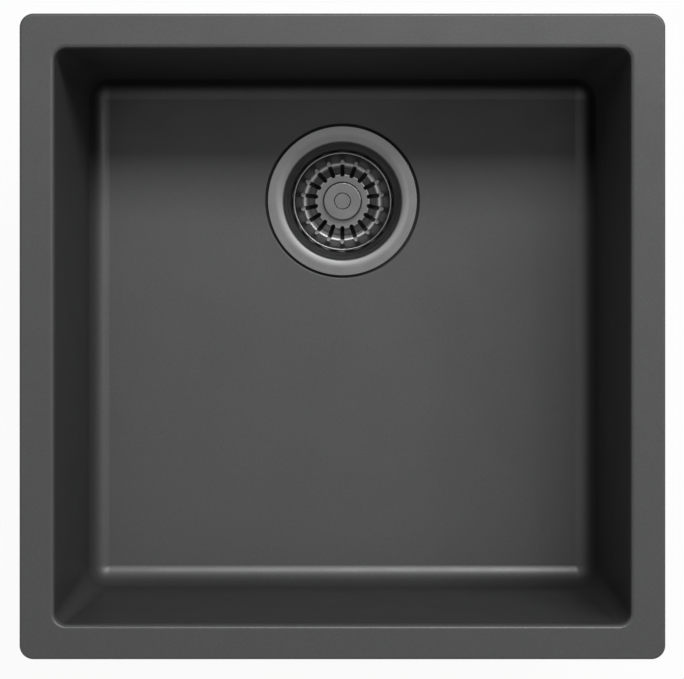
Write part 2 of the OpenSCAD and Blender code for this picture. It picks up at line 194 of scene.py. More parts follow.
def quads(rows, cols, wrap_rows=True, wrap_cols=True):
    """Corner numbers of a grid's quads, row by row, closed on itself where asked."""
    i = np.arange(rows if wrap_rows else rows - 1)[:, None]
    j = np.arange(cols if wrap_cols else cols - 1)[None, :]
    u, v = (i + 1) % rows, (j + 1) % cols
    return np.stack([i * cols + j, i * cols + v, u * cols + v, u * cols + j], -1).reshape(-1, 4)


def revolved(profile, n, centre=DRAIN, z=ZF):
    """A closed (radius, height) outline turned about an axis: x = r cos t, y = r sin t, height as it is."""
    p = np.asarray(profile, float)
    t = np.linspace(0, 2 * np.pi, n, endpoint=False)[:, None]
    x, y = p[:, 0] * np.cos(t) + centre[0], p[:, 0] * np.sin(t) + centre[1]
    return Shape(np.stack([x, y, np.broadcast_to(p[:, 1] + z, x.shape)], -1), quads(n, len(p)))


def tube(ro, ri, z0, z1, ease, n=96, **where):
    """A ring of square section with its edges eased, turned about an axis."""
    return revolved(eased([[ri, z0], [ro, z0], [ro, z1], [ri, z1]], ease, 3), n, **where)


def rod(r, z0, z1, ease, n=48, **where):
    """A solid pin with its end edges eased, turned about an axis."""
    return revolved(eased([[0, z0], [r, z0], [r, z1], [0, z1]], [0, ease, ease, 0], 3), n, **where)


def threaded(major, depth, pitch, z0, z1, n, centre=DRAIN, z=ZF, bore=0.0):
    """A screw thread of n columns.

    The height is pitch times (row + turn), the radius a flattened triangle wave of the row. The radius fades
    to the root at both ends, and the rows past the ends close up there. A bore leaves it hollow.
    """
    per_turn = 8
    wave = np.clip(np.abs(np.linspace(-1, 1, per_turn, endpoint=False)) * 1.5 - 0.25, 0, 1)
    rows = int(math.ceil((z1 - z0) / pitch + 2)) * per_turn
    j = np.arange(rows + 1)[None, :]
    i = np.arange(n)[:, None]
    h = np.clip(z0 + pitch * (j / per_turn - 1 + i / n), z0, z1)
    root = major - depth
    r = np.minimum(root + depth * wave[j % per_turn], root + np.minimum(h - z0, z1 - h))
    t = 2 * np.pi * i / n
    p = np.stack([r * np.cos(t) + centre[0], r * np.sin(t) + centre[1], h + z], -1)
    c = rows + 1
    side = quads(n, c, False, False)
    j = np.arange(c - 1 - per_turn)
    seam = np.stack([(n - 1) * c + j, (n - 1) * c + j + 1, j + 1 + per_turn, j + per_turn], -1)
    ends = [np.arange(n) * c, np.arange(n) * c + rows]
    if not bore:
        return Shape(p, side, seam, *ends)
    t = t[:, 0]
    x, y = bore * np.cos(t) + centre[0], bore * np.sin(t) + centre[1]
    inner = [np.stack([x, y, 0 * t + q + z], -1) for q in (z0, z1)]
    k = n * c
    i = np.arange(n)
    u = (i + 1) % n
    low = np.stack([ends[0][i], ends[0][u], k + u, k + i], -1)
    high = np.stack([ends[1][i], ends[1][u], k + n + u, k + n + i], -1)
    wall = np.stack([k + i, k + u, k + n + u, k + n + i], -1)
    return Shape(np.vstack([p.reshape(-1, 3), *inner]), side, seam, low, high, wall)


def bevelled(bm, ease, steps=2):
    """The sharp edges of a bmesh bevelled, as a Shape."""
    sharp = [e for e in bm.edges if len(e.link_faces) == 2 and e.calc_face_angle(0) > SHARP]
    bmesh.ops.bevel(bm, geom=sharp, offset=ease, segments=steps, profile=0.5, affect="EDGES",
                    clamp_overlap=True)
    bm.verts.index_update()
    points = np.array([v.co[:] for v in bm.verts])
    sizes = sorted({len(f.verts) for f in bm.faces})
    blocks = [np.array([[v.index for v in f.verts] for f in bm.faces if len(f.verts) == s]) for s in sizes]
    bm.free()
    return Shape(points, *blocks)


def prism(outline, z0, z1, ease, steps=2):
    """An outline stood up from z0 to z1, its sharp edges bevelled by ease."""
    bm = bmesh.new()
    face = bm.faces.new([bm.verts.new((x, y, z0)) for x, y in np.asarray(outline, float)])
    up = bmesh.ops.extrude_face_region(bm, geom=[face])["geom"]
    top = [g for g in up if isinstance(g, bmesh.types.BMVert)]
    bmesh.ops.translate(bm, verts=top, vec=(0, 0, z1 - z0))
    bm.normal_update()
    return bevelled(bm, ease, steps)


def block(lo, hi, ease, steps=2):
    """A box from its lowest to its highest corner, its edges bevelled by ease."""
    outline = [(lo[0], lo[1]), (hi[0], lo[1]), (hi[0], hi[1]), (lo[0], hi[1])]
    return prism(outline, lo[2], hi[2], ease, steps)


def from_cad(node, ease):
    """A CAD node's own solids in millimetres, their triangles merged into flat faces and edges bevelled."""
    bm = bmesh.new()
    bm.from_mesh(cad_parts[node].data)
    bmesh.ops.scale(bm, vec=(1 / MM,) * 3, verts=bm.verts)
    bmesh.ops.remove_doubles(bm, verts=bm.verts, dist=2e-3)
    bmesh.ops.recalc_face_normals(bm, faces=bm.faces)
    bmesh.ops.dissolve_limit(bm, angle_limit=math.radians(1), verts=bm.verts, edges=bm.edges)
    bm.normal_update()
    return bevelled(bm, ease)


def mesh_from(name, shape):
    """A shape's closed mesh in metres, its double points merged and its normals turned out."""
    me = bpy.data.meshes.new(name)
    me.vertices.add(len(shape.points))
    me.vertices.foreach_set("co", (shape.points * MM).ravel())
    sizes = np.concatenate([np.full(len(b), b.shape[1]) for b in shape.blocks])
    corners = np.concatenate([b.ravel() for b in shape.blocks])
    me.loops.add(len(corners))
    me.loops.foreach_set("vertex_index", corners.astype(np.int32))
    me.polygons.add(len(sizes))
    me.polygons.foreach_set("loop_start", (np.cumsum(sizes) - sizes).astype(np.int32))
    me.update(calc_edges=True)
    bm = bmesh.new()
    bm.from_mesh(me)
    bmesh.ops.remove_doubles(bm, verts=bm.verts, dist=1e-6)
    bmesh.ops.dissolve_degenerate(bm, edges=bm.edges, dist=1e-7)
    bmesh.ops.delete(bm, geom=[e for e in bm.edges if e.is_wire], context="EDGES")
    bmesh.ops.recalc_face_normals(bm, faces=bm.faces)
    if not all(e.is_manifold for e in bm.edges):
        raise ValueError(name + " isn't closed")
    bm.to_mesh(me)
    bm.free()
    return me


def piece(name, shape, body, slot, node, bevel=0.0):
    """A closed mesh, smooth but for its sharp edges, that rides on a body in place of a CAD node."""
    me = mesh_from(name, shape)
    me.shade_smooth()
    me.set_sharp_from_angle(angle=SHARP)
    me.materials.append(material(slot))
    o = bpy.data.objects.new(name, me)
    bpy.context.scene.collection.objects.link(o)
    if bevel:
        m = o.modifiers.new("Bevel", "BEVEL")
        m.width, m.segments, m.limit_method, m.angle_limit = bevel * MM, 2, "ANGLE", math.radians(45)
        m.use_clamp_overlap = True
    m = o.modifiers.new("Weighted Normal", "WEIGHTED_NORMAL")
    m.keep_sharp = True
    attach(o, body)
    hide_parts(node)


def both_ways(kind):
    """An arithmetic method and its reflected twin, which add a Math node of one kind."""
    return (lambda self, other: self.math(kind, self, other),
            lambda self, other: self.math(kind, other, self))


class Wire:
    """A value or colour in a material's nodes; arithmetic on it adds the Math nodes that work it out."""

    def __init__(self, tree, socket):
        self.tree, self.socket = tree, socket

    def math(self, kind, *values):
        """A Math node of any kind, fed with these values."""
        node = self.tree.nodes.new("ShaderNodeMath")
        node.operation = kind
        for slot, value in zip(node.inputs, values):
            plug(self.tree, slot, value)
        return Wire(self.tree, node.outputs[0])

    def __abs__(self):
        """The value without its sign."""
        return self.math("ABSOLUTE", self)

    __add__, __radd__ = both_ways("ADD")
    __sub__, __rsub__ = both_ways("SUBTRACT")
    __mul__, __rmul__ = both_ways("MULTIPLY")
    __truediv__, __rtruediv__ = both_ways("DIVIDE")
    __pow__, __rpow__ = both_ways("POWER")
    __gt__, __lt__ = both_ways("GREATER_THAN")


def plug(tree, slot, value):
    """Feeds a socket from a wire, or sets its number or colour."""
    if isinstance(value, Wire):
        tree.links.new(value.socket, slot)
    else:
        slot.default_value = value


class Paint:
    """A material under construction: its Principled shader and the nodes that feed it."""

    def __init__(self, name, **constants):
        self.material = bpy.data.materials.new(name)
        self.material.use_nodes = True
        self.tree = self.material.node_tree
        self.shader = next(n for n in self.tree.nodes if n.type == "BSDF_PRINCIPLED")
        for key, value in constants.items():
            self.shader.inputs[key.replace("_", " ")].default_value = value
        self.at = self.add("ShaderNodeTexCoord", out="Object")

    def add(self, kind, settings=None, inputs=None, out=0):
        """A node of any kind with its settings and inputs; gives the wire of one of its outputs."""
        node = self.tree.nodes.new(kind)
        for key, value in (settings or {}).items():
            setattr(node, key, value)
        for key, value in (inputs or {}).items():
            plug(self.tree, node.inputs[key], value)
        return Wire(self.tree, node.outputs[out])

    def noise(self, scale, detail, vector=None, rough=0.5):
        """Fractal noise with this many waves to a metre and this many finer layers."""
        inputs = {"Vector": vector or self.at, "Scale": scale, "Detail": detail, "Roughness": rough}
        return self.add("ShaderNodeTexNoise", inputs=inputs)

    def grains(self, scale):
        """A random value for each cell of a Voronoi pattern."""
        colour = self.add("ShaderNodeTexVoronoi", inputs={"Vector": self.at, "Scale": scale}, out="Color")
        return self.add("ShaderNodeSeparateColor", inputs={"Color": colour})

    def axes(self):
        """The object's own x, y and z."""
        node = self.tree.nodes.new("ShaderNodeSeparateXYZ")
        plug(self.tree, node.inputs[0], self.at)
        return [Wire(self.tree, s) for s in node.outputs]

    def scaled(self, colour, value):
        """A colour times a value."""
        return self.add("ShaderNodeVectorMath", {"operation": "SCALE"}, {"Vector": colour, "Scale": value})

    def limit(self, value, lo, hi):
        """A value kept between two limits."""
        return self.add("ShaderNodeClamp", inputs={"Value": value, "Min": lo, "Max": hi})

    def ramp(self, value, zero, one):
        """How far a length has come from one place in millimetres, where it counts 0, to another, where 1.

        It is (value - zero) / (one - zero), kept between 0 and 1.
        """
        return self.limit((value - zero * MM) / ((one - zero) * MM), 0, 1)

    def feed(self, **wires):
        """Feeds the shader's sockets; Height becomes a bump whose depth in metres is Depth."""
        depth, height = wires.pop("Depth"), wires.pop("Height")
        for key, value in wires.items():
            plug(self.tree, self.shader.inputs[key.replace("_", " ")], value)
        bump = self.add("ShaderNodeBump", inputs={"Strength": 1.0, "Distance": depth, "Height": height})
        plug(self.tree, self.shader.inputs["Normal"], bump)
        return self.material

    def blend(self, factor, a, b):
        """Two shader nodes' outputs mixed by a factor."""
        return self.add("ShaderNodeMixShader", inputs={0: factor, 1: a, 2: b})

    def surface(self, shader):
        """Makes a shader the material's surface."""
        out = next(n for n in self.tree.nodes if n.type == "OUTPUT_MATERIAL")
        self.tree.links.new(shader.socket, out.inputs["Surface"])
        return self.material

    def shaded_copy(self, factor, level):
        """Mixes in, by a factor, a copy of the shader with another specular level."""
        copy = self.tree.nodes.new("ShaderNodeBsdfPrincipled")
        for a, b in zip(self.shader.inputs, copy.inputs):
            if a.is_linked:
                self.tree.links.new(a.links[0].from_socket, b)
            else:
                b.default_value = a.default_value
        copy.inputs["Specular IOR Level"].default_value = level
        own, other = (Wire(self.tree, n.outputs[0]) for n in (self.shader, copy))
        return self.surface(self.blend(factor, own, other))


def composite(s):
    """Matt moulded stone composite: fine grain in two sizes, pale and dark grains, clouds and dry marks.

    The bowl's inner walls between fillet and rim are painted darker and mixed with a copy of low specular
    level, as painted shade; painted shade also darkens the gap round the flange, which is rougher there.
    """
    p = Paint("Composite", IOR=1.5, Specular_IOR_Level=0.39)
    fine, coarse, cloud = p.noise(1.1 / s.grain, 3), p.noise(0.35 / s.grain, 2), p.noise(7, 4)
    grain = p.grains(1 / s.grain)
    x, y, z = p.axes()
    over_floor = z + FLOOR_DEPTH * MM + y * FLOOR_FALL
    reach = x.math("MAXIMUM", abs(x), abs(y)) - (z - RIM_TOP * MM) * DRAFT
    # Painted shade: the inner walls between fillet and rim are 30% darker, rougher, and take a copy of the
    # shader with specular level 0.08.
    wall = p.ramp(over_floor, 0.8, 5.8) * p.ramp(z, 7, 3) * p.ramp(reach, WALL_MIDDLE, WALL_MIDDLE - 1)
    r = (x * x + (y - DRAIN[1] * MM) ** 2) ** 0.5
    # Painted shade in the gap round the flange: the composite is 80% darker there, and rougher.
    gap_shade = p.ramp(r, RECESS, RECESS - 0.6) * p.ramp(z, ZF - 0.3, ZF - 0.8)
    spot = (grain > 0.93) * 0.16 - (grain < 0.06) * 0.12
    tone = 1 + (fine - 0.5) * 0.3 + (coarse - 0.5) * 0.14 + (cloud - 0.5) * 0.1 + spot
    marks = p.noise(26, 5, rough=0.65)
    rough = s.roughness + (fine - 0.5) * 0.14 + (marks - 0.5) * 0.16 + 0.2 * wall + 0.4 * gap_shade
    p.feed(
        Base_Color=p.scaled((*s.colour,), tone * (1 - 0.3 * wall) * (1 - 0.8 * gap_shade)),
        Roughness=p.limit(rough, 0.3, 0.95),
        Height=fine * 0.6 + coarse * 0.4,
        Depth=s.grain_depth,
    )
    # Painted shade: the copy with specular level 0.08 is mixed in on the inner walls.
    return p.shaded_copy(wall, 0.08)


def spun(name, colour, roughness, line=0.16, sheen_and_roughness=0.0):
    """Turned or spun metal: noise stretched round the drain's axis, from (radius - height) and the direction.

    Weighted by its last argument, a painted reflection makes it brighter, and it is rougher, between the
    knob's plate and the cup's lip, but not on the basket's rolled rim; it is darker on the knob, and rougher
    still on the lip.
    """
    p = Paint(name, Metallic=1.0)
    x, y, z = p.axes()
    y = y - DRAIN[1] * MM
    r = (x * x + y * y) ** 0.5 + 0.00001
    places = {"X": (r - z) / (line * MM), "Y": x / r * 2.0, "Z": y / r * 2.0}
    lines = p.noise(1.0, 2, p.add("ShaderNodeCombineXYZ", inputs=places))
    cloud = p.noise(60, 4)
    # Painted reflection: the colour is raised by half on the cup's steep walls, as painted sheen.
    cup = p.ramp(r, CUP, CUP - 2) * p.ramp(r, HUB, HUB + 1)
    cup = cup * (p.ramp(r, ROLL[0], ROLL[0] - 0.3) + p.ramp(r, ROLL[1], ROLL[1] + 0.3))
    hub = p.ramp(r, HUB, HUB - 1)
    lip = p.ramp(r, LIP[1], LIP[1] - 3) * p.ramp(r, LIP[0], LIP[0] + 1)
    tone = 1 + (lines - 0.5) * 0.16 + (cloud - 0.5) * 0.1
    rough = roughness + (lines - 0.5) * 0.14 + (cloud - 0.5) * 0.1 + sheen_and_roughness * (0.2 * lip + 0.1 * cup)
    return p.feed(
        # Painted reflection on the cup's walls; the knob and the plate under it 12% darker.
        Base_Color=p.scaled(colour, tone * (1 + 0.5 * sheen_and_roughness * cup) * (1 - 0.12 * sheen_and_roughness * hub)),
        Roughness=p.limit(rough, 0.12, 0.9),
        Height=lines,
        Depth=0.000008,
    )


def plain_metal(name, colour, roughness, spots=0.0):
    """Plated or pressed metal: faint clouds, fine scratches and, on zinc, the grain of its plating."""
    p = Paint(name, Metallic=1.0)
    cloud, fine = p.noise(90, 4), p.noise(1800, 3)
    grain = p.grains(500)
    return p.feed(
        Base_Color=p.scaled(colour, 1 + (cloud - 0.5) * 0.1 + (grain - 0.5) * spots),
        Roughness=p.limit(roughness + (cloud - 0.5) * 0.2 + (fine - 0.5) * 0.14, 0.12, 0.9),
        Height=fine,
        Depth=0.000006,
    )


def moulded(name, colour, roughness, grain=0.25, depth=0.00001, tone=0.12, **constants):
    """Moulded plastic, rubber or foam: an even fine skin, slightly cloudy, with a little dust in its tone."""
    p = Paint(name, **constants)
    fine, cloud = p.noise(1 / (grain * MM), 3), p.noise(45, 4)
    return p.feed(
        Base_Color=p.scaled(colour, 1 + (cloud - 0.5) * tone + (fine - 0.5) * tone),
        Roughness=p.limit(roughness + (cloud - 0.5) * 0.16 + (fine - 0.5) * 0.12, 0.15, 1.0),
        Height=fine,
        Depth=depth,
    )


MATERIALS = {
    "composite": lambda: composite(bpy.context.scene.sink_bowl),
    "gunmetal": lambda: spun("Gunmetal", (0.155, 0.155, 0.157), 0.28, sheen_and_roughness=1.0),
    "steel": lambda: spun("Turned Steel", (0.52, 0.52, 0.53), 0.3, line=0.12),
    "zinc_steel": lambda: plain_metal("Zinc Plate", (0.56, 0.57, 0.6), 0.36, spots=0.08),
    "brass": lambda: plain_metal("Brass", (0.68, 0.5, 0.22), 0.3),
    "rubber": lambda: moulded("Rubber", (0.01, 0.01, 0.01), 0.7, Specular_IOR_Level=0.2),
    "foam": lambda: moulded("Foam", (0.03, 0.03, 0.03), 0.9, grain=0.5, depth=0.0001),
    "black_plastic": lambda: moulded("Black Plastic", (0.016, 0.016, 0.017), 0.42, grain=0.4),
    "nylon": lambda: moulded("Nylon", (0.62, 0.6, 0.53), 0.45, tone=0.06, Subsurface_Weight=0.15,
                             Subsurface_Radius=(0.001,) * 3, Subsurface_Scale=1.0),
}


def material(slot):
    """A slot's material, made when it is first asked for."""
    key = "sink_" + slot
    if key not in bpy.data.materials:
        MATERIALS[slot]().name = key
    return bpy.data.materials[key]


def ring(centres, r, dz=0.0, n_side=88, n_corner=20):
    """A closed ring round four centres: quarter arcs of radius r at each, and even points along the sides.

    The arc points are centre + r (cos a, sin a), the side points even steps from one arc's end to the next's
    start.
    """
    c = np.asarray(centres, float)
    a = np.radians(np.arange(4)[:, None] * 90 + np.linspace(0, 90, n_corner + 1))
    arcs = c[:, None] + np.stack([r * np.cos(a), r * np.sin(a), 0 * a + dz], -1)
    t = (np.arange(1, n_side) / n_side)[None, :, None]
    sides = arcs[:, -1:] * (1 - t) + np.roll(arcs, -1, 0)[:, :1] * t
    return np.concatenate([arcs, sides], 1).reshape(-1, 3)


def square(half, r, z, **counts):
    """A level ring of a square of that half width with corners of radius r."""
    h = half - r
    return ring([[h, h, z], [-h, h, z], [-h, -h, z], [h, -h, z]], r, **counts)


def between(a, b, steps):
    """Rings on the straight way from ring a to ring b: a (1 - t) + b t."""
    return [a * (1 - t) + b * t for t in steps]


def bowl_shape(s):
    """The bowl as one closed loft of rings, from the waste's hole over floor, walls and rim and back below.

    Round the waste the rings are circles whose points lie on the rays from the drain to the floor's outer
    ring. The floor runs straight between the two. Inside, the fillet is a curve within 0.4 mm of a ball of
    15 mm that leaves the floor at 10 degrees; outside it follows a ball of 23 mm. The walls run straight to
    the rim, the inner one to a place 2.1 mm inside the CAD's, so that the opening's edge has its width.
    """
    fillet = bezier(FILLET, 16)
    floor = ring(BALLS, *fillet[0])
    ray = floor[:, :2] - DRAIN
    ray /= np.linalg.norm(ray, axis=1)[:, None]

    def circles(profile):
        """Level rings round the drain, one for each radius and height."""
        return [np.column_stack([DRAIN + ray * r, np.full(len(ray), z)]) for r, z in profile]

    rings = circles(joined(
        arc(45.6, -194.4, 0.6, 270, 180, 3), [[45, -184.3]], arc(45.3, -184.3, 0.3, 180, 90, 2),
        [[56.6, -184]], arc(56.6, -183.6, 0.4, -90, 0, 2), arc(57.8, -181.8, 0.8, 180, 90, 4), [[59.5, ZF]]))
    rings += between(circles([(59.5, ZF)])[0], floor, np.r_[0.04, np.arange(1, 12) / 12, 0.985, 0.997])
    rings += [ring(BALLS, *q) for q in fillet]
    e, inset = s.mouth, 2.1
    lip_z, lip_o = RIM_TOP - e, OPENING - inset + e
    lip = [square(lip_o - e * math.cos(a), 10 + lip_o - OPENING - e * math.cos(a), lip_z + e * math.sin(a))
           for a in np.radians(np.linspace(3.7, 90, 9))]
    rings += between(rings[-1], lip[0], [0.01, 0.12, 0.25, 0.4, 0.55, 0.7, 0.85, 0.97]) + lip
    f = s.rim_edge
    edge = [square(RIM_HALF - f + f * math.cos(a), 9.5 - f + f * math.cos(a), RIM_TOP - f + f * math.sin(a))
            for a in np.radians(np.linspace(90, 0, 7))]
    rings += between(lip[-1], edge[0], [0.03, 0.35, 0.65, 0.97]) + edge
    under = [(RIM_HALF, 9.5, 6.0), (RIM_HALF, 9.5, 0.6), (219.83, 9.33, 0.18), (219.4, 8.9, 0),
             (217.2, 8.7, 0), (217, 8.5, 0.2), (217, 8.5, 2), (212, 3.5, 2), (212, 3.5, 0.2), (211.8, 3.3, 0),
             (208.2, 12, 0), (206.6, 15.5, -0.4), (205.8, 17.4, -1.4), (205.6, 18, -2.6)]
    rings += [square(*q) for q in under]
    shell = [ring(BALLS, 23 * math.sin(a), -23 * math.cos(a)) for a in np.radians(np.linspace(86.3, 4, 12))]
    rings += between(rings[-1], shell[0], [0.15, 0.3, 0.5, 0.7, 0.85, 0.98]) + shell
    rings += between(shell[-1], circles([(66, -188.9)])[0], np.r_[0.02, np.arange(1, 8) / 8, 1.0])
    rings += circles(joined(
        arc(65, -189.9, 1, 90, 180, 3), arc(63.2, -194.2, 0.8, 0, -90, 3), [[46.2, -195]]))
    grid = np.stack(rings)
    shape = Shape(grid, quads(len(rings), grid.shape[1]))
    for k in range(4):
        for y in (-CLIP_SIDE, CLIP_SIDE):
            pad = block((OPENING - 0.8, y - 16, -88), (PAD_FACE, y + 16, -50), 1.6, 3)
            shape += pad.turned(90 * k)
    return shape


def strip_shape():
    """The foam strip: rings of a rounded section 4.8 wide and 2 high, 5.5 in from the rim's edge."""
    section = eased([[-2.4, 0.03], [2.4, 0.03], [2.4, 2], [-2.4, 2]], 0.4, 2)
    middle = RIM_HALF - 5.5
    grid = np.stack([square(middle + x, 6 + x, z, n_side=6, n_corner=10) for x, z in section])
    return Shape(grid, quads(len(section), grid.shape[1]))


def flange_shape():
    """The pressed flange, cup and skirt: a sheet 1 mm thick turned round the drain, a cross in its outlet."""
    fall, roll, a = 16.0, 3.0, math.radians(12)
    mouth = 42.7
    path = joined(
        arc(55.0, -0.4, 0.4, 20, 90, 3),
        arc(mouth + roll + (fall - roll) * math.sin(a), -fall, fall, 90, 102, 5),
        arc(mouth + roll, (fall - roll) * math.cos(a) - fall, roll, 102, 176, 11),
        smoothed([[42.66, -3.9], [42.4, -6.3], [42, -9], [41.15, -11.1], [39.9, -12.6], [38.9, -13.9],
                  [38.15, -15.4], [37.6, -17.5], [36.74, -21.4], [35.85, -25.5]], 4),
        arc(31, -29, 4, -12.5, -90, 8), arc(22, -34.5, 1.5, 90, 180, 5), [[20.5, -36], [20.5, -50]])
    shape = revolved(joined(path, sheet(path, 1)[::-1]), 192)
    shape += tube(9.5, 4.2, -50, -48, 0.25, 64)
    for a in (45, 135, 225, 315):
        shape += block((9.2, -2.5, -50), (20.9, 2.5, -48), 0.3).turned(a).moved(*DRAIN, ZF)
    return shape


def body_shape():
    """The moulded waste body: turned cone and throat, six ribs, a post on webs and the outlet thread."""
    outer = [[55, -17], [55, -21], [47, -21], [44.8, -27], [33.4, -51], [27.8, -62], [27.8, -80],
             [23.2, -80], [23.2, -98]]
    inner = [[20, -98], [20, -79.5], [24, -76.5], [24, -63], [29.6, -51.5], [41, -27.5], [43.4, -21.8],
             [45.7, -19.5], [45.7, -17]]
    ease = [0.5, 0.5, 1, 3, 3, 3, 0.8, 0, 0.4, 0.6, 0.4, 0.6, 3, 3, 3, 0.6, 0.4, 0.4]
    shape = revolved(eased(outer + inner, ease, 4), 144)
    shape += threaded(23.9, 1.15, 2.309, -97.6, -80.3, 96, bore=22.4)
    rib = [(-45.2, 20.5), (-53, 20.5), (-53, 23), (-37.5, 46), (-34.2, 46)]
    for a in range(30, 390, 60):
        shape += prism(rib, -1.5, 1.5, 0.35).standing().turned(a).moved(*DRAIN, ZF)
    shape += tube(10, 6.55, -75, -52, 0.4, 64)
    for a in (45, 135, 225, 315):
        shape += block((7.2, -1.5, -75), (25.9, 1.5, -63.8), 0.5).turned(a).moved(*DRAIN, ZF)
    return shape


def clamp_shape():
    """The clamp screw: a cup-shaped head with four driving slots 2 mm wide, and its threaded shank."""
    outer, inner = 8.5, 5
    cup = [[0, -48], [outer, -48], [outer, -41.1], [inner, -41.1], [inner, -46.6], [0, -46.6]]
    shape = revolved(eased(cup, [0, 0.5, 0, 0, 0.4, 0], 3), 72)
    a, b = math.degrees(math.asin(1 / outer)), math.degrees(math.asin(1 / inner))
    sector = np.vstack([arc(0, 0, outer, a, 90 - a, 14), arc(0, 0, inner, 90 - b, b, 10)])
    for k in range(4):
        shape += prism(sector, -41.3, -39.5, 0.25).turned(90 * k).moved(*DRAIN, ZF)
    return shape + threaded(4, 0.62, 1.25, -70, -47.5, 40)


def basket_shape(s):
    """The strainer basket: eighteen sectors of a pressed sheet 0.8 mm thick, each with a slot.

    Rows follow the sheet's profile inwards and columns go from the slot's edge to the middle of the land
    beside it. The edge lies at the angle asin(h / r), where h is half the slot's width, falling to nothing
    round its two ends, so the slot's sides are flat and its ends round. Outside the slot h is 0 and the two
    edges meet.
    """
    profile = joined([[35.9, -15.2]], arc(27.8, -25.5, 3, -25.1, -158.5, 16),
                     arc(19.7, -16.4, 1.2, 21.5, 90, 6), [[3.05, -15.2]])
    w, r_out, r_in = s.slot / 2, 31.5, 18.4
    ends = np.sin(np.radians(np.linspace(0, 90, 7)))
    r = np.unique(np.round(np.concatenate([
        profile[:, 0], r_out - w + w * ends, r_in + w - w * ends, np.linspace(31.8, 35.6, 6),
        np.linspace(21.3, 24.6, 6), np.linspace(3.3, 18.2, 8)]), 5))[::-1]
    top = np.stack([r, np.interp(r, profile[::-1, 0], profile[::-1, 1])], 1)
    past_end = np.clip(np.maximum(r - (r_out - w), (r_in + w) - r), 0, w)
    h = np.sqrt(np.clip(w**2 - past_end**2, 0, None))
    h[(r >= r_out - 1e-4) | (r <= r_in + 1e-4)] = 0
    k = np.linspace(0, 1, 5)[None, :]
    rows, cols = len(r), k.shape[1]
    step = math.pi / SLOTS
    sides = []
    for surface in (top, sheet(top, 0.8)):
        rr = surface[:, :1]
        edge = np.arcsin(np.clip(h[:, None] / rr, 0, 1))
        angle = edge + (step - edge) * k
        for sign in (1, -1):
            t = math.pi / 2 + sign * angle[None] + (2 * step * np.arange(SLOTS))[:, None, None]
            z = np.broadcast_to(surface[:, 1:], angle.shape) + 0 * t
            sides.append(np.stack([rr * np.cos(t), rr * np.sin(t), z], -1))
    points = np.stack(sides).reshape(-1, 3) + [*DRAIN, ZF]
    per = rows * cols
    blocks = [quads(rows, cols, False, False) + n * per for n in range(4 * SLOTS)]
    cut = np.flatnonzero((h[:-1] > 0) | (h[1:] > 0))
    for n in range(2 * SLOTS):
        a, b = n * per, (n + 2 * SLOTS) * per
        near, far = cut * cols, (cut + 1) * cols
        blocks.append(np.stack([a + near, a + far, b + far, b + near], -1))
        for row in (0, rows - 1):
            c = row * cols + np.arange(cols - 1)
            blocks.append(np.stack([a + c, a + c + 1, b + c + 1, b + c], -1))
    return Shape(points, *blocks) + revolved(arc(36, -15.2, 0.9, 0, 345, 23), 160)


def knob_shape():
    """The lift knob: a disc on a waisted neck, turned about the drain."""
    neck = smoothed([[7, -15.1], [6.3, -14.2], [6.2, -13.2], [6.5, -12.2], [7.6, -11.7]], 3)
    return revolved(joined(
        [[3, -15.15], [7, -15.15]], neck, [[8.2, -11.5]],
        arc(13, -10, 1.5, -90, 90, 14), arc(6.5, -8.9, 0.4, 90, 180, 4), [[6.1, -9.7], [3, -9.7]]), 144)


def cap_shape():
    """The knob's cap: a low disc with a rounded edge."""
    outline = [[0, -9.7], [6, -9.7], [6, -8.6], [5.6, -8.25], [0, -8.2]]
    return revolved(eased(outline, [0, 0.1, 0.15, 0.3, 0], 3), 96)


def stem_shape():
    """The basket's stem with its collar, turned down for the foot and riveted over."""
    outline = [[0, -10.7], [3, -10.7], [3, -27.6], [6, -27.6], [6, -29.6], [3, -29.6], [3, -38.1],
               [2.5, -38.1], [2.5, -44.9], [3.4, -44.9], [3.4, -46], [0, -46]]
    return revolved(eased(outline, [0, 0.3, 0.2, 0.3, 0.3, 0.2, 0.3, 0, 0, 0.2, 0.4, 0], 3), 64)


def stopper_shape():
    """The stopper's rubber: a thick disc with a lip round its underside."""
    outline = [[3, -29.6], [27.1, -29.6], [27.9, -30.4], [27.9, -32.3], [27.4, -32.8], [21.4, -32.8],
               [19.9, -32], [10.5, -32], [9.5, -33.5], [3, -33.5]]
    return revolved(eased(outline, [0, 0.6, 0.5, 0.3, 0.3, 0.4, 0.6, 0.6, 0.4, 0], 3), 128)


def foot_shape():
    """The snap foot: a collar over a plug with a ring groove, bored for the stem."""
    outline = [[2.55, -44.8], [4.6, -44.8], [4.6, -42.8], [3.5, -42.8], [3.5, -41.3], [4.6, -41.3],
               [4.6, -39.1], [6.2, -39.1], [6.2, -38.2], [2.55, -38.2]]
    return revolved(eased(outline, [0.1, 0.4, 0.1, 0.1, 0.1, 0.1, 0.1, 0.3, 0.3, 0.1], 2), 64)


def at_clip(shape, n):
    """A shape drawn at a clip's place on the right-hand side, moved to clip n."""
    return shape.moved(0, CLIP_SIDE * (2 * ((n - 1) % 2) - 1), 0).turned(90 * ((n - 1) // 2))


def clip_screw_shape():
    """A worktop clip's screw: thread, collar, turned tip with its peened cap, and a slotted head below."""
    head = 4.6
    shape = threaded(2.5, 0.42, 0.8, -112.6, -50.2, 32, **AT_ORIGIN)
    shape += rod(4.4, -50.4, -49.1, 0.3, **AT_ORIGIN) + rod(2, -49.6, -46.2, 0.1, 32, **AT_ORIGIN)
    shape += rod(3.2, -46.4, -45.4, 0.4, **AT_ORIGIN)
    disc = [[0, -114.9], [head, -114.9], [head, -112.4], [0, -112.4]]
    shape += revolved(eased(disc, [0, 0, 0.5, 0], 3), 48, **AT_ORIGIN)
    a = math.degrees(math.asin(0.6 / head))
    half = prism(arc(0, 0, head, a, 180 - a, 20), -116.4, -114.7, 0.3)
    return (shape + half + half.turned(180)).moved(CLIP_AXIS, 0, 0)


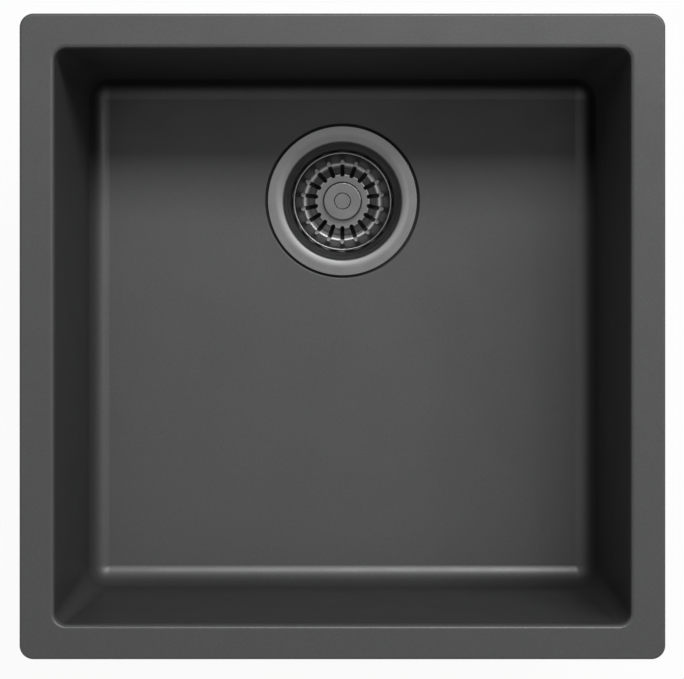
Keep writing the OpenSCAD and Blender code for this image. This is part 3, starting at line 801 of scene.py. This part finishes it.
def inserts_shape():
    """Sixteen plugs that lie behind the brackets' fixing screws."""
    insert = tube(3.5, 2, -8.2, 0, 0.2, 48, **AT_ORIGIN).lying()
    inserts = [at_clip(insert.moved(PAD_FACE, y, -69), n) for n in CLIPS for y in (-8.5, 8.5)]
    return sum(inserts[1:], inserts[0])


class BowlSettings(bpy.types.PropertyGroup):
    """Sizes and finish of the bowl."""

    colour: FloatVectorProperty(name="Colour", description="Colour of the composite", subtype="COLOR",
                                size=3, default=(0.065, 0.0655, 0.066), min=0, max=1)
    roughness: FloatProperty(name="Roughness", description="Roughness of the matt skin",
                             default=0.34, min=0, max=1)
    grain: FloatProperty(name="Grain", description="Size of the composite's grains",
                         default=0.0006, unit="LENGTH")
    grain_depth: FloatProperty(name="Grain Depth", description="Depth of the grains in the skin",
                               default=0.00004, unit="LENGTH")
    mouth: FloatProperty(name="Mouth Radius", description="Radius of the opening's edge in millimetres",
                         default=3.0, min=0.5)
    rim_edge: FloatProperty(name="Rim Radius", description="Radius of the rim's outer edge in millimetres",
                            default=1.5, min=0.5)


class BasketSettings(bpy.types.PropertyGroup):
    """Sizes of the strainer basket."""

    slot: FloatProperty(name="Slot Width", description="Width of the slots in millimetres",
                        default=3.1, min=0.5, max=3.4)


class StageSettings(bpy.types.PropertyGroup):
    """The studio round the sink: three soft lights that face down, and the camera."""

    back: FloatProperty(name="Back Light", description="Power of the light above the back",
                        default=78.0, unit="POWER")
    back_size: FloatVectorProperty(name="Back Light Size", description="Width and depth of the back light",
                                   size=2, default=(1.5, 0.79), unit="LENGTH")
    back_at: FloatVectorProperty(name="Back Light Place", description="Where the back light hangs",
                                 default=(0.4, 1.6, 3.0), subtype="TRANSLATION")
    side: FloatProperty(name="Side Light", description="Power of the light behind and to the right",
                        default=60.0, unit="POWER")
    side_size: FloatVectorProperty(name="Side Light Size", description="Width and depth of the side light",
                                   size=2, default=(1.5, 1.0), unit="LENGTH")
    side_at: FloatVectorProperty(name="Side Light Place", description="Where the side light hangs",
                                 default=(1.75, 1.75, 3.0), subtype="TRANSLATION")
    right: FloatProperty(name="Right Light", description="Power of the weak light far to the right",
                         default=18.0, unit="POWER")
    right_size: FloatVectorProperty(name="Right Light Size", description="Width and depth of the right light",
                                    size=2, default=(1.0, 1.0), unit="LENGTH")
    right_at: FloatVectorProperty(name="Right Light Place", description="Where the right light hangs",
                                  default=(2.6, 0.7, 3.0), subtype="TRANSLATION")
    height: FloatProperty(name="Camera Height", description="Height of the camera over the rim",
                          default=2.141, unit="LENGTH")
    aside: FloatVectorProperty(name="Camera Place", description="The camera's x and y",
                               size=2, default=(-0.0003, 0.0343), unit="LENGTH")
    lens: FloatProperty(name="Lens", description="Focal length of the camera", default=165.5, unit="CAMERA")
    shift: FloatProperty(name="Lens Shift", description="Upward shift of the lens, in widths of the picture",
                         default=-0.0782)


class SinkOperator(bpy.types.Operator):
    """Base of the operators that build one group of pieces."""

    bl_options = {"REGISTER", "UNDO"}


class SINK_OT_bowl(SinkOperator):
    """Build the composite bowl and the foam strip under its rim"""

    bl_idname = "sink.bowl"
    bl_label = "Bowl"

    def execute(self, context):
        piece("Bowl", bowl_shape(context.scene.sink_bowl), "sink", "composite", "sink_bowl")
        piece("Rim_Seal", strip_shape(), "sink", "foam", "rim_seal")
        return {"FINISHED"}


class SINK_OT_waste(SinkOperator):
    """Build the waste's flange, seals, body and clamp screw"""

    bl_idname = "sink.waste"
    bl_label = "Waste"

    def execute(self, context):
        piece("Flange", flange_shape(), "sink", "gunmetal", "waste_flange")
        piece("Flange_Seal", tube(55, 48.5, -3, -1, 0.3), "sink", "rubber", "flange_seal")
        piece("Body_Seal", tube(54, 46.5, -17, -14, 0.5), "sink", "rubber", "body_seal")
        piece("Waste_Body", body_shape(), "sink", "black_plastic", "waste_body")
        piece("Clamp_Nut", tube(6.5, 4.05, -71, -53, 0.3, 48), "sink", "brass", "clamp_nut")
        piece("Clamp_Screw", clamp_shape(), "sink", "steel", "clamp_screw")
        return {"FINISHED"}


class SINK_OT_basket(SinkOperator):
    """Build the strainer basket with its knob, stem, stopper and foot"""

    bl_idname = "sink.basket"
    bl_label = "Basket"

    def execute(self, context):
        basket = basket_shape(context.scene.sink_basket)
        foot_ring = revolved(arc(4.25, -42.05, 0.7, 0, 337.5, 15), 64)
        piece("Basket", basket, "basket", "gunmetal", "strainer_basket", bevel=0.1)
        piece("Knob", knob_shape(), "basket", "gunmetal", "basket_knob")
        piece("Knob_Cap", cap_shape(), "basket", "gunmetal", "knob_cap")
        piece("Stem", stem_shape(), "basket", "steel", "basket_stem")
        piece("Stopper", stopper_shape(), "basket", "rubber", "stopper_seal")
        piece("Stem_Washer", tube(9, 3.1, -34.5, -33.5, 0.2, 64), "basket", "steel", "stem_washer")
        piece("Stem_Nut", from_cad("stem_nut", 0.25), "basket", "steel", "stem_nut")
        piece("Snap_Foot", foot_shape(), "basket_foot", "nylon", "snap_foot")
        piece("Foot_Ring", foot_ring, "basket_foot", "rubber", "foot_ring")
        return {"FINISHED"}


class SINK_OT_clips(SinkOperator):
    """Build the eight worktop clips with their brackets and fixings"""

    bl_idname = "sink.clips"
    bl_label = "Clips"

    def execute(self, context):
        piece("Clip_Brackets", from_cad("clip_brackets", 0.35), "sink", "zinc_steel", "clip_brackets")
        piece("Bracket_Screws", from_cad("bracket_screws", 0.12), "sink", "zinc_steel", "bracket_screws")
        piece("Wall_Inserts", inserts_shape(), "sink", "nylon", "wall_inserts")
        screw = clip_screw_shape()
        for n in CLIPS:
            screw_node, jaw_node = f"clip_{n}_screw", f"clip_{n}_jaw"
            piece(f"Clip_{n}_Screw", at_clip(screw, n), screw_node, "zinc_steel", screw_node)
            piece(f"Clip_{n}_Jaw", from_cad(jaw_node, 0.3), jaw_node, "zinc_steel", jaw_node)
        return {"FINISHED"}


def seen_rays(tree):
    """Two wires: 1 for the camera's rays, and 1 for all rays that show a background, also in metal."""
    path = tree.nodes.new("ShaderNodeLightPath")
    kinds = ("Camera", "Glossy", "Transmission")
    camera, glossy, through = (Wire(tree, path.outputs[f"Is {kind} Ray"]) for kind in kinds)
    clamp = tree.nodes.new("ShaderNodeClamp")
    plug(tree, clamp.inputs["Value"], camera + glossy + through)
    return camera, Wire(tree, clamp.outputs[0])


def stage_floor():
    """A plain pale floor below the outlet: white to the camera, with the sink's shadow, clear from below."""
    z, reach, whiteness = -0.2794, 4, 0.95
    me = bpy.data.meshes.new("Floor")
    corners = [(-reach, -reach, z), (reach, -reach, z), (reach, reach, z), (-reach, reach, z)]
    me.from_pydata(corners, [], [(0, 1, 2, 3)])
    o = bpy.data.objects.new("Floor", me)
    bpy.context.scene.collection.objects.link(o)
    p = Paint("Floor", Roughness=0.9, Base_Color=(0.8, 0.8, 0.8, 1))
    camera, seen = seen_rays(p.tree)
    white = p.add("ShaderNodeEmission", inputs={"Color": (1, 1, 1, 1), "Strength": 1.0})
    lit = p.blend(seen * whiteness, Wire(p.tree, p.shader.outputs[0]), white)
    below = p.add("ShaderNodeNewGeometry", out="Backfacing")
    me.materials.append(p.surface(p.blend(below * camera, lit, p.add("ShaderNodeBsdfTransparent"))))


def stage_world():
    """The room: white to the camera and in reflections, and without light of its own on the sink."""
    world = bpy.data.worlds.new("Room")
    bpy.context.scene.world = world
    world.use_nodes = True
    back = next(n for n in world.node_tree.nodes if n.type == "BACKGROUND")
    back.inputs["Color"].default_value = (1, 1, 1, 1)
    plug(world.node_tree, back.inputs["Strength"], seen_rays(world.node_tree)[1])


def softbox(name, power, size, place):
    """A soft rectangular light that faces down."""
    light = bpy.data.lights.new(name, "AREA")
    light.shape, light.energy = "RECTANGLE", power
    light.size, light.size_y = size
    o = bpy.data.objects.new(name, light)
    bpy.context.scene.collection.objects.link(o)
    o.location = place
    o.visible_camera = False


class SINK_OT_stage(SinkOperator):
    """Build the floor, the light and the camera"""

    bl_idname = "sink.stage"
    bl_label = "Stage"

    def execute(self, context):
        scene = context.scene
        s = scene.sink_stage
        scene.view_settings.view_transform = "Standard"
        stage_floor()
        stage_world()
        softbox("Back_Light", s.back, s.back_size, s.back_at)
        softbox("Side_Light", s.side, s.side_size, s.side_at)
        softbox("Right_Light", s.right, s.right_size, s.right_at)
        cam = bpy.data.cameras.new("Camera")
        cam.sensor_width, cam.lens, cam.shift_y = 36.0, s.lens, s.shift
        c = bpy.data.objects.new("Camera", cam)
        scene.collection.objects.link(c)
        c.location = (*s.aside, s.height + RIM_TOP * MM)
        scene.camera = c
        return {"FINISHED"}


class SINK_PT_panel(bpy.types.Panel):
    """Lists the sink's settings and builders in the sidebar"""

    bl_label = "Inset Sink"
    bl_idname = "SINK_PT_panel"
    bl_space_type = "VIEW_3D"
    bl_region_type = "UI"
    bl_category = "Sink"

    def draw(self, context):
        for name, group in GROUPS.items():
            for key in group.__annotations__:
                self.layout.prop(getattr(context.scene, name), key)
        for op in STEPS:
            self.layout.operator(op.bl_idname)


STEPS = (SINK_OT_bowl, SINK_OT_waste, SINK_OT_basket, SINK_OT_clips, SINK_OT_stage)
GROUPS = {"sink_bowl": BowlSettings, "sink_basket": BasketSettings, "sink_stage": StageSettings}


def register():
    """Registers the settings, the operators and the panel."""
    for c in (*GROUPS.values(), *STEPS, SINK_PT_panel):
        bpy.utils.register_class(c)
    for name, group in GROUPS.items():
        setattr(bpy.types.Scene, name, PointerProperty(type=group))


def unregister():
    """Takes them out again."""
    for name in GROUPS:
        delattr(bpy.types.Scene, name)
    for c in reversed((*GROUPS.values(), *STEPS, SINK_PT_panel)):
        bpy.utils.unregister_class(c)


def main():
    """Builds everything in order."""
    register()
    bpy.ops.sink.bowl()
    bpy.ops.sink.waste()
    bpy.ops.sink.basket()
    bpy.ops.sink.clips()
    bpy.ops.sink.stage()


if __name__ == "__main__":
    main()
